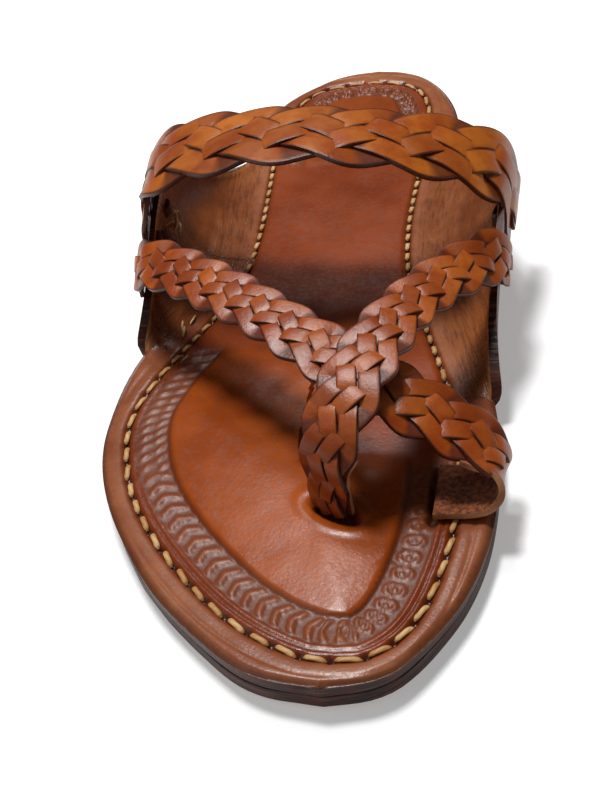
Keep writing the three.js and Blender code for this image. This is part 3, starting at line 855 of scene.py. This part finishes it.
# a long flat lens instead of a ball, with a slanting dent between its two plies
ball = np.maximum(np.sqrt(1 - np.clip(t * t, 0, 0.999)), 0.05)
q[:, 1:] *= ((1 - np.abs(t) ** 3.4) ** 0.5 / ball)[:, None]
ply = np.cos(2 * np.arctan2(q[:, 2], q[:, 1]) + 5.5 * t)
q[:, 1:] *= (1 - 0.06 * ply)[:, None]
movePoints(firstStitch, q * mm)
# the first channel marks the stitch's ends and the second the dents between its plies, both for painted shade
paint(firstStitch, "shadeAndTone", shares(smoothStep(0.72, 0.98, np.abs(t)), np.clip(ply, 0, 1), t * 0))
stitchPoints = pointsOf(firstStitch) / mm
stitches = []
for at, end in stitchSpans:
    size = end - at
    a = np.array([np.interp(at, stitchRun[:-1], stitchLine[:, k]) for k in (0, 1)])
    b = np.array([np.interp(end, stitchRun[:-1], stitchLine[:, k]) for k in (0, 1)])
    c, way = (a + b) / 2, (b - a) / np.linalg.norm(b - a)
    turn = math.radians(-7 + 3 * random.uniform(-1, 1))
    cosine, sine = math.cos(turn), math.sin(turn)
    way = np.array([way[0] * cosine - way[1] * sine, way[0] * sine + way[1] * cosine])
    copy = firstStitch.copy()
    copy.data = firstStitch.data.copy()
    bpy.context.collection.objects.link(copy)
    lx, ly = stitchPoints[:, 0] * size, stitchPoints[:, 1] * thread["width"]
    lz = stitchPoints[:, 2] * thread["height"] - thread["sink"] * (stitchPoints[:, 0] * 2) ** 4
    slope = (float(riseAt(c[1] + 1)) - float(riseAt(c[1] - 1))) / 2
    z = float(riseAt(c[1])) + footbed - hide["grooveDepth"] * 0.3
    xs, ys = c[0] + lx * way[0] - ly * way[1], c[1] + lx * way[1] + ly * way[0]
    movePoints(copy, np.stack([xs, ys, z + lz + slope * (lx * way[1])], 1) * mm)
    stitches.append(copy)
bpy.data.objects.remove(firstStitch)
threadPiece = joinAll("sole_stitching", stitches)
smoothShade(threadPiece, 80)
print("stitches", len(stitches))

# straps

# strap centrelines: x, y, z, the way its face looks, width
instepRows = [
    (-48.2, 13, 16, -1, -0.05, -0.05, 25), (-48.9, 16.6, 28, -0.97, -0.1, 0.2, 26.5),
    (-46.8, 18, 38, -0.78, -0.15, 0.6, 27.5), (-39, 16.2, 44.4, -0.42, -0.12, 0.9, 28.5),
    (-21, 12.2, 49.6, -0.2, -0.05, 0.98, 28.5), (-1, 9.6, 51.8, 0, 0, 1, 28),
    (19, 10.4, 48.6, 0.24, -0.03, 0.97, 27), (36.6, 14.6, 42, 0.48, -0.1, 0.87, 26),
    (46.6, 17.5, 35, 0.8, -0.15, 0.57, 25), (50, 18.4, 27, 0.97, -0.1, 0.2, 24.5),
    (49.6, 18, 17, 1, 0, -0.05, 23.5),
]
crossRows = [
    (-47.2, -6.4, 20, -0.97, -0.2, 0.05, 13.5), (-45.2, -9.6, 26, -0.82, -0.3, 0.45, 13.5),
    (-38, -15.6, 29.6, -0.4, -0.25, 0.88, 13.5), (-27, -24.4, 31.4, -0.2, -0.2, 0.96, 13.5),
    (-13.5, -36.4, 32.8, -0.1, -0.15, 0.98, 13.5), (0, -48.7, 33.2, 0, -0.15, 0.99, 13.5),
    (10, -57.5, 32.6, 0.1, -0.2, 0.97, 14.5), (19, -64, 30.8, 0.2, -0.25, 0.94, 15.5),
    (28, -68.7, 27.4, 0.3, -0.25, 0.92, 16), (37, -71, 23, 0.45, -0.25, 0.85, 16),
    (45, -73.4, 18.6, 0.68, -0.25, 0.68, 16), (50.4, -76.4, 14, 0.96, -0.15, 0.2, 15),
    (49.4, -78.6, 10.2, 0.78, 0, -0.6, 16), (44, -79.2, 8.7, 0.12, 0, -1, 16.5),
    (36.6, -79, 8.5, 0, 0, -1, 16.5),
]
toeRows = [
    (50, -9, 20.8, 0.98, -0.15, 0.1, 13), (48, -13, 27, 0.84, -0.25, 0.45, 13),
    (39.6, -25.4, 30.8, 0.35, -0.25, 0.9, 13), (30.6, -40.6, 33, 0.2, -0.2, 0.96, 13),
    (24.6, -56, 34, 0.05, -0.25, 0.96, 14), (20, -70, 32.6, -0.1, -0.42, 0.9, 15),
    (16.5, -79, 27.8, -0.32, -0.76, 0.56, 14.5), (14.2, -83, 21.6, -0.48, -0.86, 0.18, 12.5),
    (13.8, -84.2, 14.5, -0.52, -0.85, 0, 10.5), (14.6, -85, 6.4, -0.5, -0.86, 0, 9.5),
]


def strapFrames(rows, steps=900):
    # evenly spaced along the strap: centre, across, outward face and width, with the run of each
    table = np.stack([curveThrough(rows, k, steps) for k in range(7)], 1)
    centre = table[:, :3]
    run = np.concatenate([[0], np.cumsum(np.linalg.norm(np.diff(centre, axis=0), axis=1))])
    ahead = np.gradient(centre, run, axis=0)
    ahead /= np.linalg.norm(ahead, axis=1)[:, None]
    face = table[:, 3:6] - (table[:, 3:6] * ahead).sum(1)[:, None] * ahead
    face /= np.linalg.norm(face, axis=1)[:, None]
    across = np.cross(ahead, face)
    return {"run": run, "centre": centre, "across": across, "face": face, "width": table[:, 6]}


def frameAt(frames, at, key):
    value = frames[key]
    if value.ndim == 1:
        return np.interp(at, frames["run"], value)
    return np.stack([np.interp(at, frames["run"], value[:, k]) for k in range(3)], 1)


def strandHeight(m, count):
    # over and under: +1 on top, -1 beneath, one step for each strand that is crossed
    m = m % (2 * count)
    h = np.where(m < count, np.cos(np.pi * m), -np.cos(np.pi * m))
    h = np.where(m <= 1, -np.sin(np.pi * m / 2), h)
    h = np.where(np.abs(m - count) < 1, -np.sin(np.pi * (m - count) / 2), h)
    h = np.where(m >= 2 * count - 1, -np.sin(np.pi * (m - 2 * count) / 2), h)
    return np.tanh(1.5 * h) / math.tanh(1.5)


def braid(name, rows, style, skin):
    frames = strapFrames(rows)
    start, end = style["from"] * frames["run"][-1], style["to"] * frames["run"][-1]
    count, repeat = style["strands"], style["repeat"]
    length = end - start
    steps = int(length / style["step"])
    reachShare = 1 - style["tuck"]
    pitch = repeat / count

    def strandMiddle(at, number):
        turn = at / repeat + number / count
        wave = np.arcsin(0.985 * np.cos(2 * np.pi * turn)) / math.asin(0.985)
        reach = frameAt(frames, at, "width") / 2 * reachShare
        lift = style["raise"] + style["lift"] * strandHeight(2 * count * turn, count)
        lift -= style["round"] * np.abs(wave) ** 3
        wobble = 0.14 * softNoise(at, at * 0 + number * 5.7, 7, 1, style["seed"])
        sideways = (reach * wave + wobble)[:, None]
        middle = frameAt(frames, at, "centre") + frameAt(frames, at, "across") * sideways
        return middle + frameAt(frames, at, "face") * lift[:, None]

    strands = []
    for number in range(count):
        def place(u, v, number=number):
            at = start + v * length
            centre = strandMiddle(at, number)
            ahead = strandMiddle(at + 0.2, number) - strandMiddle(at - 0.2, number)
            ahead /= np.linalg.norm(ahead, axis=1)[:, None]
            side = np.cross(ahead, frameAt(frames, at, "face"))
            side /= np.linalg.norm(side, axis=1)[:, None]
            up = np.cross(side, ahead)
            reach = frameAt(frames, at, "width") / 2 * reachShare
            slant = np.arctan2(4 * reach, repeat)
            uneven = 1 + 0.05 * softNoise(at, at * 0 + number * 3.1, 9, 1, style["seed"] + 1)
            strip = pitch * np.sin(slant) * style["fill"] * uneven
            b = 2 * u - 1
            domed = style["thick"] / 2 - style["crown"] * b * b
            return centre + side * (b * strip / 2)[:, None] + up * domed[:, None]

        strand = addGrid(name + "_strand", 6, steps, place)
        placeSkins(strand, skin)
        uv = strand.data.uv_layers.active
        flat = np.empty(len(strand.data.loops) * 2)
        uv.data.foreach_get("uv", flat)
        flat = flat.reshape(-1, 2)
        loops = np.empty(len(strand.data.loops), dtype=np.int32)
        strand.data.loops.foreach_get("vertex_index", loops)
        at = start + flat[:, 1] * length
        flat[:, 1] = at * mm
        uv.data.foreach_set("uv", flat.ravel())
        along = np.zeros(len(strand.data.vertices))
        along[loops] = at
        turn = along / repeat + number / count
        # every visible cell of a strand gets a tone of its own
        cell = np.floor(2 * count * turn + 0.5).astype(int)
        cellTones = np.random.default_rng(style["seed"] + 5).uniform(0, 1, 4096)
        ownTone = cellTones[(cell * 13 + number * 101) % 4096]
        # the first channel, the strand's height over and under, drives painted shade where it dips beneath its
        # neighbours
        paint(strand, "shadeAndTone", shares((strandHeight(2 * count * turn, count) + 1) / 2, ownTone, ownTone * 0))
        applyModifier(strand, "SOLIDIFY", {"thickness": style["thick"] * mm, "offset": -1, "use_rim": True})
        bevelEdges(strand, 0.2)
        strands.append(strand)
    whole = joinAll(name, strands)
    faceOutwards(whole)
    smoothShade(whole, 50)
    return whole


# strands, length of one strand's turn, how far its middle keeps off the edge, width against a closed braid,
# thickness, dome, over and under, height over the centreline, rounding at the edges
instepStyle = {
    "strands": 5, "repeat": 86, "tuck": 0.2, "fill": 1.06, "thick": 1.2, "crown": 0.1, "lift": 0.36,
    "raise": 0.85, "round": 1.0, "step": 0.7, "from": 0.012, "to": 0.988, "seed": 31,
}
narrowStyle = {
    "strands": 5, "tuck": 0.19, "fill": 1.05, "thick": 1.1, "crown": 0.1, "lift": 0.34,
    "raise": 0.85, "round": 0.8, "step": 0.5, "from": 0.01,
}
crossStyle = {**narrowStyle, "repeat": 54, "to": 0.88, "seed": 41}
toeStyle = {**narrowStyle, "repeat": 52, "to": 0.985, "seed": 51}
instepBraid = braid("instep_braid", instepRows, instepStyle, instepThong)
crossBraid = braid("cross_braid", crossRows, crossStyle, toeThong)
toeBraid = braid("toe_braid", toeRows, toeStyle, toeThong)
print("braids", len(instepBraid.data.polygons), len(crossBraid.data.polygons), len(toeBraid.data.polygons))


def plainStrip(name, rows, style):
    # a flat strip along part of a strap's centreline, grain side out
    frames = strapFrames(rows)
    total = frames["run"][-1]

    def place(u, v):
        at = (style["from"] + (style["to"] - style["from"]) * v) * total
        half = frameAt(frames, at, "width") / 2 * style["narrow"]
        b = 2 * u - 1
        edge = 0.4 * softNoise(at, b * 3, 6, 3, 61)
        height = style["height"] - style["dip"] * smoothStep(0.3, 0, v) - 0.2 * b * b
        middle = frameAt(frames, at, "centre") + frameAt(frames, at, "across") * (b * half + edge * b)[:, None]
        return middle + frameAt(frames, at, "face") * height[:, None]

    strip = addGrid(name, 12, 80, place)
    placeSkins(strip, smoothStrap, rawFlesh, cutEdge)
    applyModifier(strip, "SOLIDIFY", {"thickness": style["thick"] * mm, "offset": -1, "use_rim": True,
                                      "material_offset": 1, "material_offset_rim": 2})
    bevelEdges(strip, 0.3)
    smoothShade(strip, 50)
    return strip


loopStrip = plainStrip("loop_strip", crossRows, {
    "from": 0.83, "to": 1.0, "narrow": 0.97, "height": 1.0, "dip": 0.7, "thick": 1.4,
})
postStrip = plainStrip("post_lining", toeRows, {
    "from": 0.84, "to": 0.99, "narrow": 0.98, "height": -0.75, "dip": 0.9, "thick": 1.1,
})

# lace stitches that hold the straps to the wings

laces = [
    # side, distance out from the root, y, turn, length
    ("lateral", 30, 4, 20, 7), ("lateral", 27, 12, -25, 6.5), ("lateral", 31, 20, 10, 6),
    ("lateral", 29, -4, 60, 6), ("medial", 31, 6, -20, 7), ("medial", 29, 14, 30, 6.5),
    ("medial", 32, 22, -5, 6), ("medial", 30, -10, -50, 6.5),
]


def wingFace(side, out, y):
    # a place on a wing's inner face, the way up the wing and the way inwards
    section = wingSection(side, y)
    run = np.concatenate([[0], np.cumsum(np.linalg.norm(np.diff(section, axis=0), axis=1))])
    out = min(out, run[-1] - 2.2)
    x, z = np.interp(out, run, section[:, 0]), np.interp(out, run, section[:, 1])
    x2, z2 = np.interp(out + 0.5, run, section[:, 0]), np.interp(out + 0.5, run, section[:, 1])
    up = np.array([x2 - x, 0, z2 - z])
    up /= np.linalg.norm(up)
    sign = 1 if side == "medial" else -1
    inwards = np.array([-up[2] * sign, 0, up[0] * sign])
    return np.array([x, y, z]), up, inwards


laceParts = []
for side, out, yy, turn, size in laces:
    centre, up, inwards = wingFace(side, out, yy)
    deselectAll()
    bpy.ops.mesh.primitive_cube_add(size=1 * mm)
    lace = bpy.context.object
    placeSkins(lace, laceLeather)
    bpy.ops.object.mode_set(mode="EDIT")
    bpy.ops.mesh.select_all(action="SELECT")
    bpy.ops.mesh.subdivide(number_cuts=5)
    bpy.ops.object.mode_set(mode="OBJECT")
    p = pointsOf(lace) / mm
    c, s = math.cos(math.radians(turn)), math.sin(math.radians(turn))
    way = np.array([0, c, 0]) + up * s
    over = np.cross(way, inwards)
    arch = 0.9 - 5.2 * p[:, 0] ** 2
    height = p[:, 2:3] * 1.1 + arch[:, None]
    movePoints(lace, (centre + p[:, :1] * size * way + p[:, 1:2] * 2.4 * over + height * inwards) * mm)
    bevelEdges(lace, 0.25)
    laceParts.append(lace)
# frayed ends of the lacing thread: side, distance out from the root, y, turn, length, curl
frays = [
    ("lateral", 28, 21, 75, 8, 1.2), ("lateral", 26, 19, 20, 6, 1.6), ("lateral", 27, 23, 130, 6, 1.0),
    ("lateral", 28, 16, -30, 7, 1.6), ("lateral", 24, 20, 40, 6, 0.9),
    ("lateral", 25, 15, 100, 6, 1.2), ("lateral", 2.2, -15, 10, 5, 0.25),
    ("lateral", 2.6, -10, -8, 4.5, 0.3), ("lateral", 3.8, -13, 14, 5, 0.3),
    ("lateral", 2.0, -5, 4, 4, 0.25),
]
for side, out, yy, turn, size, curl in frays:
    centre, up, inwards = wingFace(side, out, yy)
    c, s = math.cos(math.radians(turn)), math.sin(math.radians(turn))
    way = np.array([0, c, 0]) + up * s
    over = np.cross(way, inwards)

    def placeFray(u, v):
        turned = 2 * np.pi * u
        reach = 0.36 * np.sqrt(np.clip(np.sin(np.pi * v), 0, 1)) + 0.01
        lift = 0.35 + curl * np.sin(np.pi * v) ** 2
        sway = 0.3 * curl * np.sin(2.2 * np.pi * v + turn)
        return (centre + ((v - 0.5) * size)[:, None] * way + (sway + reach * np.cos(turned))[:, None] * over
                + (lift + reach * np.sin(turned))[:, None] * inwards)

    fray = addGrid("frayed_thread", 6, 12, placeFray)
    placeSkins(fray, threadCotton)
    laceParts.append(fray)
lacePiece = joinAll("wing_laces", laceParts)
faceOutwards(lacePiece)
smoothShade(lacePiece, 50)
print("laces")

finishPiece(footbedMesh, ("topsole", "medial_wing", "lateral_wing"))
finishPiece(outsole, ("outsole",))
finishPiece(heelLift, ("heel_lift",))
finishPiece(heelPiece, ("heel_top_piece",))
finishPiece(instepBraid, ("instep_strap",))
finishPiece(crossBraid, ("toe_straps",))
finishPiece(toeBraid, None)
finishPiece(loopStrip, None)
finishPiece(postStrip, None)
finishPiece(threadPiece, None)
finishPiece(lacePiece, None)

# floor, light and camera

# each light: place, size, power
studio = {
    "camera": (0.06983, -0.29449, 0.2026),
    "target": (0.00474, -0.05998, 0.02),
    "roll": 10.5,
    "lens": 60,
    "floorGlow": 0.3,
    "worldLight": 0.08,
    "key": ((-0.2, 0.27, 1.04), 0.24, 10.2),
    "back": ((-0.12, 0.53, 0.86), 0.17, 2.6),
    "left": ((-0.85, -0.35, 0.9), 0.8, 1.6),
    "front": ((0.45, -1.0, 0.8), 0.9, 0.7),
}
deselectAll()
bpy.ops.mesh.primitive_plane_add(size=6, location=(0, 0, -0.0002))
floor = bpy.context.object
floor.name = "floor"
floorMaterial, tree = newMaterial("paleMattFloor")
finishMaterial(tree, addNode(tree, "BsdfPrincipled", {
    "Base Color": colour("#e6e6e6"), "Roughness": 0.9, "Specular IOR Level": 0.05,
    "Emission Color": (1, 1, 1, 1), "Emission Strength": studio["floorGlow"],
}))
floor.data.materials.append(floorMaterial)
bpy.ops.object.transform_apply(location=True, rotation=True, scale=True)

world = bpy.data.worlds.new("studio")
bpy.context.scene.world = world
world.use_nodes = True
world.node_tree.nodes["Background"].inputs[0].default_value = (1, 1, 1, 1)
world.node_tree.nodes["Background"].inputs[1].default_value = studio["worldLight"]
bpy.context.scene.view_settings.view_transform = "Standard"

for name in ("key", "back", "left", "front"):
    place, size, power = studio[name]
    deselectAll()
    bpy.ops.object.light_add(type="AREA", location=place)
    light = bpy.context.object
    light.name = name
    light.data.size = size
    light.data.energy = power
    light.rotation_euler = (Vector((0, -0.02, 0)) - Vector(place)).to_track_quat("-Z", "Y").to_euler()

deselectAll()
bpy.ops.object.camera_add(location=studio["camera"])
camera = bpy.context.object
look = Vector(studio["target"]) - Vector(studio["camera"])
roll = Matrix.Rotation(math.radians(-studio["roll"]), 4, "Z")
camera.rotation_euler = (look.to_track_quat("-Z", "Y").to_matrix().to_4x4() @ roll).to_euler()
camera.data.lens = studio["lens"]
camera.data.sensor_width = 36
camera.data.clip_start = 0.01
bpy.context.scene.camera = camera
print("camera")
